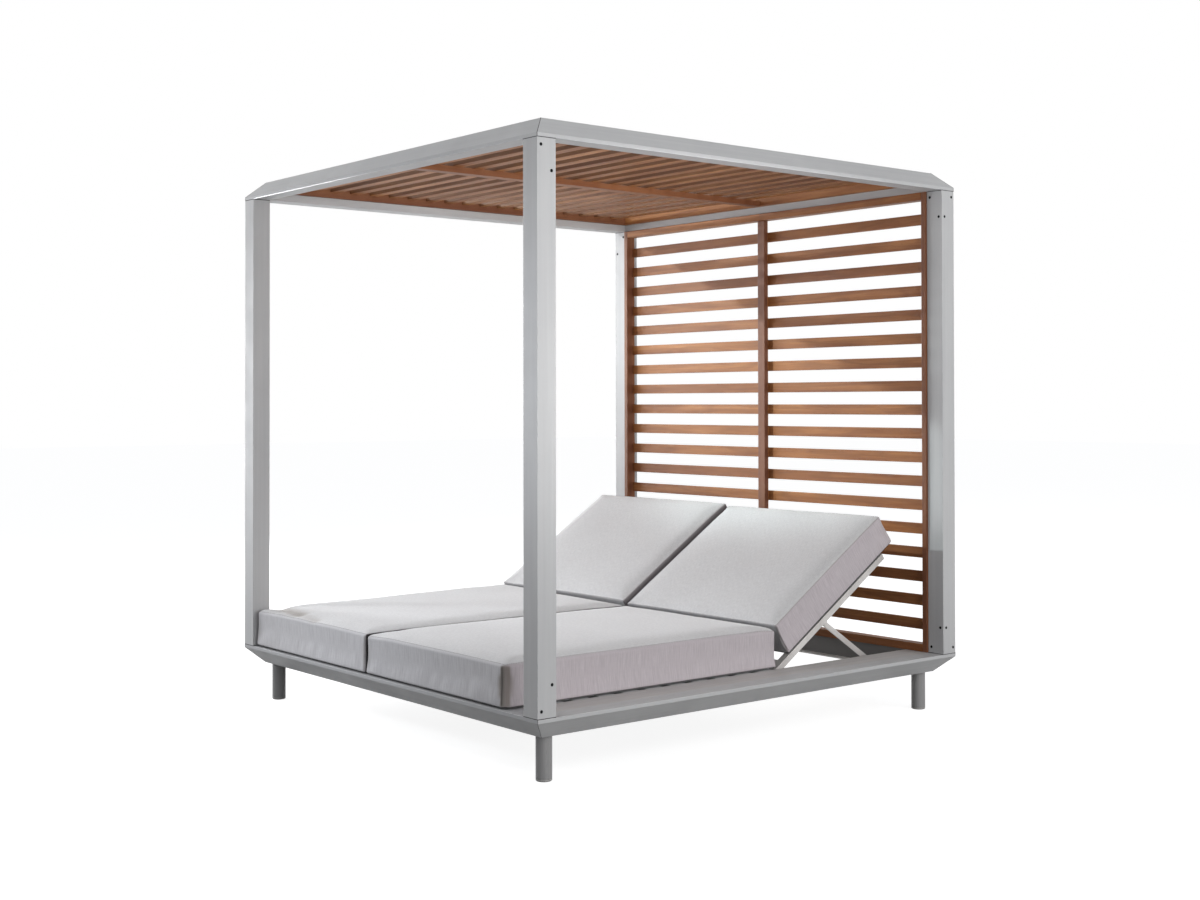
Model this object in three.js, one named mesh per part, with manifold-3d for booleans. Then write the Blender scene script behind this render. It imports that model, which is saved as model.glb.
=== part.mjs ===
// Outdoor double daybed with a slatted canopy and a slatted headboard.
// Millimetres, +Z up, origin on the floor under the middle of the bed.
// The foot end is at -Y and the headboard at +Y; the two mattresses lie side by side along X.

import * as THREE from 'three';
import { mergeVertices } from 'three/addons/utils/BufferGeometryUtils.js';
import Module from 'manifold-3d';

const wasm = await Module();
wasm.setup();

// Overall frame
const width = 2100;
const length = 2176;
const deckHeight = 233;
const postHeight = 1921;
const postSize = 78;
const frameWall = 3;
const lipHeight = 13;
const bevelHeight = 64;
const bevelInset = 66;

// Clearances
const seam = 0.3;
const mitreGap = 0.2;
const pinClearance = 0.3;

// Base: shelf along the right side, beams, slatted seat deck
const shelfWidth = 117;
const shelfThickness = 25;
const ledgeDepth = 25.3;
const ledgeReach = 12;
const beamBottomDepth = 75;
const ledgeLegWidth = 25;
const centreBeamWidth = 80;
const crossMemberWidth = 40;
const deckSlatThickness = 25;
const deckSlatWidth = 72;
const deckSlatWall = 2.5;
const deckSlatCount = 11;
const deckSplitGap = 2;
const runnerWidth = 30;
const runnerDepth = 15;
const runnerPlaceShares = [0.3, 0.75];

// Legs
const legInset = 108;
const legRadius = 28.5;
const legWall = 3;
const legPlateThickness = 8;
const legPlateWidth = 103.4;
const legPlateLength = 70;
const glideHeight = 9;
const glideEdge = 3;
const glidePlugHeight = 14;

// Headboard screen
const screenStileWidth = 24;
const screenRailHeight = 32;
const screenDepth = 50;
const screenProud = 8;
const screenSlatCount = 18;
const screenSlatHeight = 45;
const screenSlatThickness = 14;
const midStileWidth = 44;
const midStileDepth = 24;

// Roof panel
const roofPanelDrop = 32;
const roofPanelDepth = 45;
const roofBearerWidth = 25;
const roofEndRailWidth = 25;
const roofCentreBearerWidth = 50;
const roofSlatCount = 19;
const roofSlatWidth = 45;
const roofSlatThickness = 20;
const roofSlatTopGap = 1;

// Reclining backrests
const hingeDepth = 12.2;
const restAngle = 33;
const backTubeWidth = 30;
const backTubeDepth = 25;
const backTubeWall = 2;
const backTubeSolidEnd = 20;
const backFrameReach = 757;
const backFrameEndGap = 21;
const backFrameSideGap = 3;
const backLowerTubeStart = 24;
const backSlatCount = 5;
const backSlatWidth = 58;
const backSlatThickness = 4;
const hingeRodRadius = 5;
const hingeLugThickness = 6;
const hingeLugRadius = 12;
const hingeLugGap = 4;
const hingeLugRoot = 22;

// Stays that prop the backrests on their racks
const stayFootEndGap = 62;
const stayPivotDrop = 30;
const stayExtraLength = 11;
const stayBarWidth = 20;
const stayBarThickness = 8;
const stayLugThickness = 8;
const stayLugRadius = 9;
const stayLugRoot = 24;
const stayLugGap = 2.8;
const stayPinRadius = 4;
const stayRodRadius = 6;
const stayRodEndGap = 1.5;
const staySideGap = 0.5;
const rackThickness = 6.4;
const rackCrestClearance = 0.6;
const rackNotchPitch = 54;
const rackNotchRadius = 7;
const rackUpperNotchCount = 4;
const rackLowerNotchCount = 1;
const rackEndMargin = 26;

// Cushions
const cushionMiddleGap = 4;
const cushionEdgeGap = 1.5;
const cushionLift = 0.6;
const seatCushionFootInset = 8;
const seatCushionEndGap = 1;
const seatCushionThickness = 158;
const backCushionStart = 92;
const backCushionEndGap = 15;
const backCushionThickness = 138;
const cushionCrown = 9;
const cushionDrawIn = 7;
const cushionEdgeRadius = 24;
const cushionSegments = 14;
const cushionSideSegments = 4;

// Round work
const roundSegments = 24;
const arcSegments = 10;

// Places worked out from the sizes above
const railDepth = lipHeight + bevelHeight;
const halfWidth = width / 2;
const halfLength = length / 2;
const railTop = deckHeight;
const roofUnderside = deckHeight + postHeight;
const railInnerX = halfWidth - postSize;
const railInnerY = halfLength - postSize;
const shelfInnerX = railInnerX - shelfWidth;
const bedCentreX = (shelfInnerX - railInnerX) / 2;
const bedHalfWidth = (shelfInnerX + railInnerX) / 2;
const ledgeInnerX = bedHalfWidth - ledgeReach;
const hingeY = railInnerY - backFrameEndGap - backFrameReach;
const hingeZ = railTop - hingeDepth;
const crossMemberRear = hingeY - backTubeDepth;
const crossMemberFront = crossMemberRear - crossMemberWidth;
const restTurn = THREE.MathUtils.degToRad(restAngle);
const backOuterX = bedHalfWidth - backFrameSideGap;
const backInnerX = centreBeamWidth / 2 - ledgeReach;
const rackInnerFace = centreBeamWidth / 2 + seam;
const rackOuterFace = ledgeInnerX - seam;
const stayPivotReach = (backFrameReach - stayFootEndGap - stayExtraLength) / 2;
const stayLength = stayPivotReach + stayExtraLength;
const cushionWidth = bedHalfWidth - cushionMiddleGap / 2 - cushionEdgeGap;
const cushionX = (cushionWidth + cushionMiddleGap) / 2;
const backCushionLength = backFrameReach - backCushionEndGap;

// Finishes
const frameGrey = { color: 0xb7b5b2, roughness: 0.55, metalness: 0.35 };
const hardwareGrey = { color: 0xc9c8c5, roughness: 0.4, metalness: 0.6 };
const teak = { color: 0x9a6a48, roughness: 0.62, metalness: 0 };
const fabric = { color: 0xcfcdca, roughness: 0.95, metalness: 0 };
const greyPlastic = { color: 0xa6a4a1, roughness: 0.6, metalness: 0 };

function piece(name, geometry, finish, group) {
  const mesh = new THREE.Mesh(geometry, new THREE.MeshStandardMaterial(finish));
  mesh.name = name;
  group.add(mesh);
  return mesh;
}

// Joins and cuts of closed meshes
function toSolid(geometry) {
  const bare = geometry.clone();
  bare.deleteAttribute('normal');
  bare.deleteAttribute('uv');
  const merged = mergeVertices(bare);
  const vertProperties = new Float32Array(merged.attributes.position.array);
  const triVerts = new Uint32Array(merged.index.array);
  return new wasm.Manifold(new wasm.Mesh({ numProp: 3, vertProperties, triVerts }));
}

function toGeometry(solid) {
  const mesh = solid.getMesh();
  const geometry = new THREE.BufferGeometry();
  geometry.setAttribute('position', new THREE.BufferAttribute(new Float32Array(mesh.vertProperties), 3));
  geometry.setIndex(new THREE.BufferAttribute(new Uint32Array(mesh.triVerts), 1));
  geometry.computeVertexNormals();
  return geometry;
}

function joined(geometries) {
  return toGeometry(geometries.map(toSolid).reduce((whole, next) => whole.add(next)));
}

function cutFrom(geometry, cutters) {
  return toGeometry(cutters.map(toSolid).reduce((whole, next) => whole.subtract(next), toSolid(geometry)));
}

// A box given by its lowest and highest corners
function block(x0, x1, y0, y1, z0, z1) {
  const box = new THREE.BoxGeometry(x1 - x0, y1 - y0, z1 - z0);
  return box.translate((x0 + x1) / 2, (y0 + y1) / 2, (z0 + z1) / 2);
}

// The same box on the right of the middle, or mirrored to the left of it
function sideBlock(side, x0, x1, y0, y1, z0, z1) {
  return side > 0 ? block(x0, x1, y0, y1, z0, z1) : block(-x1, -x0, y0, y1, z0, z1);
}

// A round bar along X between two places
function barAlongX(radius, x0, x1, y, z) {
  const bar = new THREE.CylinderGeometry(radius, radius, x1 - x0, roundSegments);
  return bar.rotateZ(Math.PI / 2).translate((x0 + x1) / 2, y, z);
}

// Outline points moved inwards by one wall
function insetOutline(points, distance) {
  const turn = THREE.ShapeUtils.isClockWise(points) ? -1 : 1;
  const count = points.length;
  return points.map((point, i) => {
    const before = points[(i + count - 1) % count];
    const after = points[(i + 1) % count];
    const into = point.clone().sub(before).normalize();
    const out = after.clone().sub(point).normalize();
    const normalIn = new THREE.Vector2(-into.y, into.x).multiplyScalar(turn);
    const normalOut = new THREE.Vector2(-out.y, out.x).multiplyScalar(turn);
    const between = normalIn.clone().add(normalOut).normalize();
    return point.clone().addScaledVector(between, distance / between.dot(normalIn));
  });
}

// A tube of any outline, open at both ends, along +Z
function hollowExtrusion(outline, wall, depth) {
  const inner = insetOutline(outline, wall);
  if (THREE.ShapeUtils.isClockWise(outline)) {
    inner.reverse();
  }
  const shape = new THREE.Shape(outline);
  shape.holes.push(new THREE.Path(inner));
  return new THREE.ExtrudeGeometry(shape, { depth, bevelEnabled: false });
}

function rectangle(x0, x1, y0, y1) {
  return [
    new THREE.Vector2(x0, y0),
    new THREE.Vector2(x1, y0),
    new THREE.Vector2(x1, y1),
    new THREE.Vector2(x0, y1),
  ];
}

// A rail tube along X, seen from outside: flat face, short lip, bevel running inwards.
// heading is -1 where the bevel points down and 1 where it points up.
function mitredRail(railLength, heading) {
  const outline = [
    new THREE.Vector2(0, 0),
    new THREE.Vector2(postSize, 0),
    new THREE.Vector2(postSize, heading * railDepth),
    new THREE.Vector2(bevelInset, heading * railDepth),
    new THREE.Vector2(0, heading * lipHeight),
  ];
  const geometry = hollowExtrusion(outline, frameWall, railLength);
  const position = geometry.attributes.position;
  for (let i = 0; i < position.count; i += 1) {
    const inwards = position.getX(i);
    const up = position.getY(i);
    const atStart = position.getZ(i) < railLength / 2;
    const end = railLength / 2 - inwards - mitreGap;
    position.setXYZ(i, atStart ? -end : end, inwards, up);
  }
  return geometry;
}

function addRailFrame(group, prefix, height, heading) {
  const sides = [
    ['foot', width, 0, -halfLength, 0],
    ['right', length, halfWidth, 0, Math.PI / 2],
    ['head', width, 0, halfLength, Math.PI],
    ['left', length, -halfWidth, 0, -Math.PI / 2],
  ];
  for (const [side, railLength, x, y, turn] of sides) {
    const rail = piece(`${prefix}_rail_${side}`, mitredRail(railLength, heading), frameGrey, group);
    rail.position.set(x, y, height);
    rail.rotation.z = turn;
  }
}

function addPosts(group) {
  const postLength = postHeight - 2 * seam;
  const outline = rectangle(-postSize / 2, postSize / 2, -postSize / 2, postSize / 2);
  const places = [
    ['foot_left', -1, -1],
    ['foot_right', 1, -1],
    ['head_left', -1, 1],
    ['head_right', 1, 1],
  ];
  for (const [name, sideX, sideY] of places) {
    const post = piece(`post_${name}`, hollowExtrusion(outline, frameWall, postLength), frameGrey, group);
    const x = sideX * (halfWidth - postSize / 2);
    const y = sideY * (halfLength - postSize / 2);
    post.position.set(x, y, railTop + seam);
    addLeg(group, name, sideX, sideY);
  }
}

// A round tube leg under a plate in the corner of the base, on a plastic glide
function addLeg(group, name, sideX, sideY) {
  const x = sideX * (halfWidth - legInset);
  const y = sideY * (halfLength - legInset);
  const plateTop = railTop - ledgeDepth;
  const legTop = plateTop - legPlateThickness - seam;
  const legBottom = glideHeight + seam;
  const innerRadius = legRadius - legWall;

  const legProfile = [
    new THREE.Vector2(innerRadius, legBottom),
    new THREE.Vector2(legRadius, legBottom),
    new THREE.Vector2(legRadius, legTop),
    new THREE.Vector2(innerRadius, legTop),
    new THREE.Vector2(innerRadius, legBottom),
  ];
  const leg = new THREE.LatheGeometry(legProfile, roundSegments).rotateX(Math.PI / 2);
  piece(`leg_${name}`, leg, frameGrey, group).position.set(x, y, 0);

  const plugRadius = innerRadius - seam;
  const glideProfile = [
    new THREE.Vector2(0, 0),
    new THREE.Vector2(legRadius - glideEdge, 0),
    new THREE.Vector2(legRadius, glideEdge),
    new THREE.Vector2(legRadius, glideHeight),
    new THREE.Vector2(plugRadius, glideHeight),
    new THREE.Vector2(plugRadius, glideHeight + glidePlugHeight),
    new THREE.Vector2(0, glideHeight + glidePlugHeight),
  ];
  const glide = new THREE.LatheGeometry(glideProfile, roundSegments).rotateX(Math.PI / 2);
  piece(`glide_${name}`, glide, greyPlastic, group).position.set(x, y, 0);

  const plateOuter = railInnerX - seam;
  const plateInner = plateOuter - legPlateWidth;
  const plateEnd = railInnerY - seam;
  const yLow = sideY > 0 ? plateEnd - legPlateLength : -plateEnd;
  const plateBottom = plateTop - legPlateThickness;
  const plate = sideBlock(sideX, plateInner, plateOuter, yLow, yLow + legPlateLength, plateBottom, plateTop);
  piece(`leg_plate_${name}`, plate, frameGrey, group);
}

// The shelf along the right side, whose inner leg makes the ledge for slats and backrest
function addSideShelf(group) {
  const legInner = shelfInnerX - ledgeReach;
  const legOuter = legInner + ledgeLegWidth;
  const outline = [
    [shelfInnerX, 0],
    [railInnerX - seam, 0],
    [railInnerX - seam, -shelfThickness],
    [legOuter, -shelfThickness],
    [legOuter, -beamBottomDepth],
    [legInner, -beamBottomDepth],
    [legInner, -ledgeDepth],
    [shelfInnerX, -ledgeDepth],
  ].map(([x, z]) => new THREE.Vector2(x, z));
  const shelfLength = 2 * (railInnerY - seam);
  const shelf = hollowExtrusion(outline, frameWall, shelfLength).rotateX(Math.PI / 2);
  piece('side_shelf', shelf, frameGrey, group).position.set(0, shelfLength / 2, railTop);
}

// On the left there is no shelf, and a bar on the inside of the rail makes the ledge
function addLedgeBar(group) {
  const x0 = -railInnerX + seam;
  const x1 = -railInnerX + ledgeReach;
  const end = railInnerY - 2 * seam - legPlateLength;
  const bar = block(x0, x1, -end, end, railTop - beamBottomDepth, railTop - ledgeDepth);
  piece('ledge_bar', bar, frameGrey, group);
}

function addCentreBeam(group, name, yStart, yEnd) {
  const half = centreBeamWidth / 2;
  const outline = rectangle(-half, half, -beamBottomDepth, -ledgeDepth);
  const beam = hollowExtrusion(outline, frameWall, yEnd - yStart).rotateX(Math.PI / 2);
  piece(`centre_beam_${name}`, beam, frameGrey, group).position.set(0, yEnd, railTop);
}

// A hinge lug in the YZ plane: round eye on the hinge line, root on the cross member
function hingeLug(xStart) {
  const shape = new THREE.Shape();
  shape.moveTo(crossMemberRear - hingeY, -hingeLugRoot);
  shape.lineTo(0, -hingeLugRadius);
  shape.absarc(0, 0, hingeLugRadius, -Math.PI / 2, Math.PI / 2, false);
  shape.lineTo(crossMemberRear - hingeY, -(ledgeDepth - hingeDepth));
  const bore = new THREE.Path();
  bore.absarc(0, 0, hingeRodRadius + pinClearance, 0, 2 * Math.PI, true);
  shape.holes.push(bore);
  const lug = new THREE.ExtrudeGeometry(shape, {
    depth: hingeLugThickness,
    bevelEnabled: false,
    curveSegments: arcSegments,
  });
  return lug.rotateY(Math.PI / 2).rotateX(Math.PI / 2).translate(xStart, hingeY, hingeZ);
}

function addCrossMember(group) {
  const half = ledgeInnerX - seam;
  const outline = rectangle(crossMemberFront, crossMemberRear, -beamBottomDepth, -ledgeDepth);
  const tube = hollowExtrusion(outline, frameWall, 2 * half);
  tube.rotateY(Math.PI / 2).rotateX(Math.PI / 2).translate(-half, 0, railTop);
  const outerLug = backOuterX - backTubeWidth - hingeLugGap - hingeLugThickness;
  const innerLug = backInnerX + backTubeWidth + hingeLugGap;
  const lugs = [
    hingeLug(outerLug),
    hingeLug(innerLug),
    hingeLug(-innerLug - hingeLugThickness),
    hingeLug(-outerLug - hingeLugThickness),
  ];
  piece('cross_member', joined([tube, ...lugs]), frameGrey, group);
}

// A deck slat along X: a channel with its two flanges pointing down
function deckSlat(x0, x1, y) {
  const wall = deckSlatWall;
  const shape = new THREE.Shape([
    new THREE.Vector2(0, -deckSlatThickness),
    new THREE.Vector2(wall, -deckSlatThickness),
    new THREE.Vector2(wall, -wall),
    new THREE.Vector2(deckSlatWidth - wall, -wall),
    new THREE.Vector2(deckSlatWidth - wall, -deckSlatThickness),
    new THREE.Vector2(deckSlatWidth, -deckSlatThickness),
    new THREE.Vector2(deckSlatWidth, 0),
    new THREE.Vector2(0, 0),
  ]);
  return plateAlongX(shape, x1 - x0, x0).translate(0, y, railTop);
}

// Slats of one half of the seat deck, welded across two runners
function addSeatDeck(group, name, side) {
  const xInner = deckSplitGap / 2;
  const xOuter = bedHalfWidth - seam;
  const yStart = -railInnerY + seam;
  const yEnd = crossMemberRear - seam;
  const pitch = (yEnd - yStart - deckSlatWidth) / (deckSlatCount - 1);
  const bottom = railTop - deckSlatThickness;
  const xLow = side > 0 ? xInner : -xOuter;
  const bars = [];
  for (let i = 0; i < deckSlatCount; i += 1) {
    bars.push(deckSlat(xLow, xLow + xOuter - xInner, yStart + i * pitch));
  }
  for (const share of runnerPlaceShares) {
    const x0 = xInner + share * (xOuter - xInner) - runnerWidth / 2;
    const yLast = crossMemberFront - seam;
    bars.push(sideBlock(side, x0, x0 + runnerWidth, yStart, yLast, bottom - runnerDepth, bottom));
  }
  piece(`seat_deck_${name}`, joined(bars), frameGrey, group);
}

// Teak headboard: outer frame, and slats lapped behind the middle stile that carries them
function addHeadboard(group) {
  const front = railInnerY - screenProud;
  const back = front + screenDepth;
  const outerX = railInnerX - seam;
  const innerX = outerX - screenStileWidth;
  const bottom = railTop + seam;
  const top = roofUnderside - seam;
  piece('headboard_stile_left', block(-outerX, -innerX, front, back, bottom, top), teak, group);
  piece('headboard_stile_right', block(innerX, outerX, front, back, bottom, top), teak, group);

  const railX = innerX - seam;
  const lowRailTop = bottom + screenRailHeight;
  const highRailBottom = top - screenRailHeight;
  piece('headboard_rail_bottom', block(-railX, railX, front, back, bottom, lowRailTop), teak, group);
  piece('headboard_rail_top', block(-railX, railX, front, back, highRailBottom, top), teak, group);

  const slatFront = back - screenSlatThickness;
  const open = highRailBottom - lowRailTop;
  const gap = (open - screenSlatCount * screenSlatHeight) / (screenSlatCount + 1);
  const half = midStileWidth / 2;
  const stileFront = slatFront - midStileDepth;
  const bars = [block(-half, half, stileFront, slatFront, lowRailTop + seam, highRailBottom - seam)];
  for (let i = 0; i < screenSlatCount; i += 1) {
    const z = lowRailTop + gap + i * (gap + screenSlatHeight);
    bars.push(block(-railX, railX, slatFront, back, z, z + screenSlatHeight));
  }
  piece('headboard_slats', joined(bars), teak, group);
}

// Teak roof panel: frame inside the roof rails, slats carried by the centre bearer
function addRoofPanel(group) {
  const bottom = roofUnderside + roofPanelDrop;
  const top = bottom + roofPanelDepth;
  const outerX = railInnerX - seam;
  const innerX = outerX - roofBearerWidth;
  const endY = railInnerY - seam;
  piece('roof_bearer_left', block(-outerX, -innerX, -endY, endY, bottom, top), teak, group);
  piece('roof_bearer_right', block(innerX, outerX, -endY, endY, bottom, top), teak, group);

  const railX = innerX - seam;
  const railY = endY - roofEndRailWidth;
  piece('roof_end_rail_foot', block(-railX, railX, -endY, -railY, bottom, top), teak, group);
  piece('roof_end_rail_head', block(-railX, railX, railY, endY, bottom, top), teak, group);

  const slatTop = top - roofSlatTopGap;
  const slatBottom = slatTop - roofSlatThickness;
  const gap = (2 * railY - roofSlatCount * roofSlatWidth) / (roofSlatCount + 1);
  const half = roofCentreBearerWidth / 2;
  const bars = [block(-half, half, -railY + seam, railY - seam, bottom, slatBottom)];
  for (let i = 0; i < roofSlatCount; i += 1) {
    const y = -railY + gap + i * (gap + roofSlatWidth);
    bars.push(block(-railX, railX, y, y + roofSlatWidth, slatBottom, slatTop));
  }
  piece('roof_slats', joined(bars), teak, group);
}

// A plate in the YZ plane, its thickness along X from xStart
function plateAlongX(shape, thickness, xStart) {
  const plate = new THREE.ExtrudeGeometry(shape, {
    depth: thickness,
    bevelEnabled: false,
    curveSegments: arcSegments,
  });
  return plate.rotateY(Math.PI / 2).rotateX(Math.PI / 2).translate(xStart, 0, 0);
}

function eyeHole(y, z, radius) {
  const hole = new THREE.Path();
  hole.absarc(y, z, radius, 0, 2 * Math.PI, true);
  return hole;
}

// The lug under a backrest tube that the stay turns on
function stayLug(xStart) {
  const shape = new THREE.Shape();
  shape.moveTo(stayPivotReach + stayLugRoot, -backTubeDepth / 2);
  shape.lineTo(stayPivotReach - stayLugRoot, -backTubeDepth / 2);
  shape.lineTo(stayPivotReach - stayLugRadius, -stayPivotDrop);
  shape.absarc(stayPivotReach, -stayPivotDrop, stayLugRadius, Math.PI, 2 * Math.PI, false);
  shape.holes.push(eyeHole(stayPivotReach, -stayPivotDrop, stayPinRadius + pinClearance));
  return plateAlongX(shape, stayLugThickness, xStart);
}

// One tube of a backrest frame along Y, with the round end that turns on the hinge rod
function backSideTube(xStart) {
  const half = backTubeDepth / 2;
  const shape = new THREE.Shape();
  shape.moveTo(0, -half);
  shape.lineTo(backFrameReach, -half);
  shape.lineTo(backFrameReach, half);
  shape.lineTo(0, half);
  shape.absarc(0, 0, half, Math.PI / 2, 3 * Math.PI / 2, false);
  shape.holes.push(eyeHole(0, 0, hingeRodRadius + pinClearance));
  return plateAlongX(shape, backTubeWidth, xStart);
}

// Sides of one backrest, given as the lowest x of the outer and inner tube and lug
function backSides(side) {
  const outerTube = backOuterX - backTubeWidth;
  const innerTube = backInnerX;
  const outerLug = rackOuterFace - rackThickness - stayLugGap - stayLugThickness;
  const innerLug = rackInnerFace + rackThickness + stayLugGap;
  if (side > 0) {
    return { tubes: [innerTube, outerTube], lugs: [innerLug, outerLug] };
  }
  return {
    tubes: [-outerTube - backTubeWidth, -innerTube - backTubeWidth],
    lugs: [-outerLug - stayLugThickness, -innerLug - stayLugThickness],
  };
}

function backFrame(side) {
  const { tubes, lugs } = backSides(side);
  const half = backTubeDepth / 2;
  const xLow = tubes[0] + backTubeWidth / 2;
  const xHigh = tubes[1] + backTubeWidth / 2;
  const upperStart = backFrameReach - backTubeWidth;
  const lowerEnd = backLowerTubeStart + backTubeWidth;
  const parts = [
    ...tubes.map(backSideTube),
    ...lugs.map(stayLug),
    block(xLow, xHigh, backLowerTubeStart, lowerEnd, -half, half),
    block(xLow, xHigh, upperStart, backFrameReach, -half, half),
  ];
  const gap = (upperStart - lowerEnd - backSlatCount * backSlatWidth) / (backSlatCount + 1);
  for (let i = 0; i < backSlatCount; i += 1) {
    const y = lowerEnd + gap + i * (gap + backSlatWidth);
    parts.push(block(xLow, xHigh, y, y + backSlatWidth, half - backSlatThickness, half));
  }
  const wall = backTubeWall;
  const core = half - wall;
  const xCoreLow = tubes[0] + wall;
  const xCoreHigh = tubes[1] + backTubeWidth - wall;
  const bores = [
    ...tubes.map((x) => block(
      x + wall,
      x + backTubeWidth - wall,
      backTubeSolidEnd,
      backFrameReach + wall,
      -core,
      core,
    )),
    block(xCoreLow, xCoreHigh, backLowerTubeStart + wall, lowerEnd - wall, -core, core),
    block(xCoreLow, xCoreHigh, upperStart + wall, backFrameReach - wall, -core, core),
  ];
  return cutFrom(joined(parts), bores);
}

// A flat stay bar: pivot eye with its pin at the top, rod eye at the foot
function stayBar(xStart, pinSide) {
  const radius = stayBarWidth / 2;
  const shape = new THREE.Shape();
  shape.absarc(0, 0, radius, Math.PI / 2, 3 * Math.PI / 2, false);
  shape.absarc(stayLength, 0, radius, -Math.PI / 2, Math.PI / 2, false);
  shape.holes.push(eyeHole(stayLength, 0, stayRodRadius + pinClearance));
  const bar = plateAlongX(shape, stayBarThickness, xStart);
  const reach = staySideGap + stayLugThickness;
  const pinStart = pinSide > 0 ? xStart + stayBarThickness / 2 : xStart - reach;
  const pin = barAlongX(stayPinRadius, pinStart, pinStart + reach + stayBarThickness / 2, 0, 0);
  return joined([bar, pin]);
}

// The backrest group turns on the hinge line, and the stay group on the lugs of the backrest
function addBackrest(root, name, side) {
  const back = new THREE.Group();
  back.position.set(0, hingeY, hingeZ);
  back.rotation.x = restTurn;
  root.add(back);
  piece(`backrest_frame_${name}`, backFrame(side), hardwareGrey, back);

  const stay = new THREE.Group();
  stay.position.set(0, stayPivotReach, -stayPivotDrop);
  stay.rotation.x = -2 * restTurn;
  back.add(stay);
  const { lugs } = backSides(side);
  const lowBar = lugs[0] + stayLugThickness + staySideGap;
  const highBar = lugs[1] - staySideGap - stayBarThickness;
  const barNames = side > 0 ? ['inner', 'outer'] : ['outer', 'inner'];
  piece(`stay_bar_${name}_${barNames[0]}`, stayBar(lowBar, -1), hardwareGrey, stay);
  piece(`stay_bar_${name}_${barNames[1]}`, stayBar(highBar, 1), hardwareGrey, stay);
  const rodNear = centreBeamWidth / 2 + stayRodEndGap;
  const rodFar = ledgeInnerX - stayRodEndGap;
  const rodLow = side > 0 ? rodNear : -rodFar;
  const rodHigh = side > 0 ? rodFar : -rodNear;
  const rod = barAlongX(stayRodRadius, rodLow, rodHigh, stayLength, 0);
  piece(`stay_rod_${name}`, rod, hardwareGrey, stay);

  addBackCushion(back, name, side);
}

function hingeRod(side) {
  const near = backInnerX + seam;
  const far = backOuterX - seam;
  return barAlongX(hingeRodRadius, side > 0 ? near : -far, side > 0 ? far : -near, hingeY, hingeZ);
}

// Height of the stay rod when the backrest stands at an angle
function stayFootDepth(angle) {
  const lift = (stayPivotReach - stayLength) * Math.sin(angle);
  return hingeDepth - lift + stayPivotDrop * Math.cos(angle);
}

function stayFootY(angle) {
  const reach = (stayPivotReach + stayLength) * Math.cos(angle);
  return hingeY + reach + stayPivotDrop * Math.sin(angle);
}

// A toothed rack with a crest just under the path of the stay rod
function addRack(group, name, xStart) {
  const lowestAngle = Math.atan2(stayLength - stayPivotReach, stayPivotDrop);
  const crest = -(stayFootDepth(lowestAngle) + stayRodRadius + rackCrestClearance);
  const restFoot = stayFootY(restTurn);
  const first = restFoot - rackUpperNotchCount * rackNotchPitch;
  const last = restFoot + rackLowerNotchCount * rackNotchPitch;
  const shape = new THREE.Shape();
  shape.moveTo(first - rackEndMargin, -beamBottomDepth);
  shape.lineTo(last + rackEndMargin, -beamBottomDepth);
  shape.lineTo(last + rackEndMargin, crest);
  for (let i = 0; i <= rackUpperNotchCount + rackLowerNotchCount; i += 1) {
    const y = last - i * rackNotchPitch;
    shape.lineTo(y + rackNotchRadius, crest);
    shape.absarc(y, crest - rackNotchRadius, rackNotchRadius, 0, Math.PI, true);
    shape.lineTo(y - rackNotchRadius, crest);
  }
  shape.lineTo(first - rackEndMargin, crest);
  const rack = plateAlongX(shape, rackThickness, xStart);
  piece(name, rack, hardwareGrey, group).position.z = railTop;
}

function addRacks(group) {
  addRack(group, 'rack_right_outer', rackOuterFace - rackThickness);
  addRack(group, 'rack_right_inner', rackInnerFace);
  addRack(group, 'rack_left_outer', -rackOuterFace);
  addRack(group, 'rack_left_inner', -rackInnerFace - rackThickness);
}

// A boxed cushion: rounded edges, crowned top, sides drawn in between the corners
function cushion(cushionLength, thickness) {
  const box = new THREE.BoxGeometry(
    2,
    2,
    2,
    cushionSegments,
    cushionSegments,
    cushionSideSegments,
  );
  const half = new THREE.Vector3(cushionWidth / 2, cushionLength / 2, thickness / 2);
  const core = half.clone().subScalar(cushionEdgeRadius);
  const position = box.attributes.position;
  const point = new THREE.Vector3();
  const nearest = new THREE.Vector3();
  for (let i = 0; i < position.count; i += 1) {
    point.fromBufferAttribute(position, i);
    const u = Math.sin(point.x * Math.PI / 2);
    const v = Math.sin(point.y * Math.PI / 2);
    point.set(u * half.x, v * half.y, point.z * half.z);
    nearest.copy(point).clamp(core.clone().negate(), core);
    const outwards = point.clone().sub(nearest);
    if (outwards.length() > cushionEdgeRadius) {
      outwards.setLength(cushionEdgeRadius);
    }
    point.copy(nearest).add(outwards);
    const pull = 1 - point.z * point.z / (half.z * half.z);
    point.x -= Math.sign(point.x) * cushionDrawIn * Math.abs(u) ** 3 * (1 - v * v) * pull;
    point.y -= Math.sign(point.y) * cushionDrawIn * Math.abs(v) ** 3 * (1 - u * u) * pull;
    if (point.z > 0) {
      point.z += cushionCrown * (1 - u ** 4) * (1 - v ** 4) * point.z / half.z;
    }
    position.setXYZ(i, point.x, point.y, point.z + thickness / 2);
  }
  return box;
}

function addSeatCushion(group, name, side) {
  const start = -halfLength + seatCushionFootInset;
  const end = hingeY - seatCushionEndGap;
  const seat = piece(`seat_cushion_${name}`, cushion(end - start, seatCushionThickness), fabric, group);
  seat.position.set(side * cushionX, (start + end) / 2, railTop + cushionLift);
}

function addBackCushion(back, name, side) {
  const pad = piece(`back_cushion_${name}`, cushion(backCushionLength, backCushionThickness), fabric, back);
  const middle = backCushionStart + backCushionLength / 2;
  pad.position.set(side * cushionX, middle, backTubeDepth / 2 + seam);
}

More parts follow.
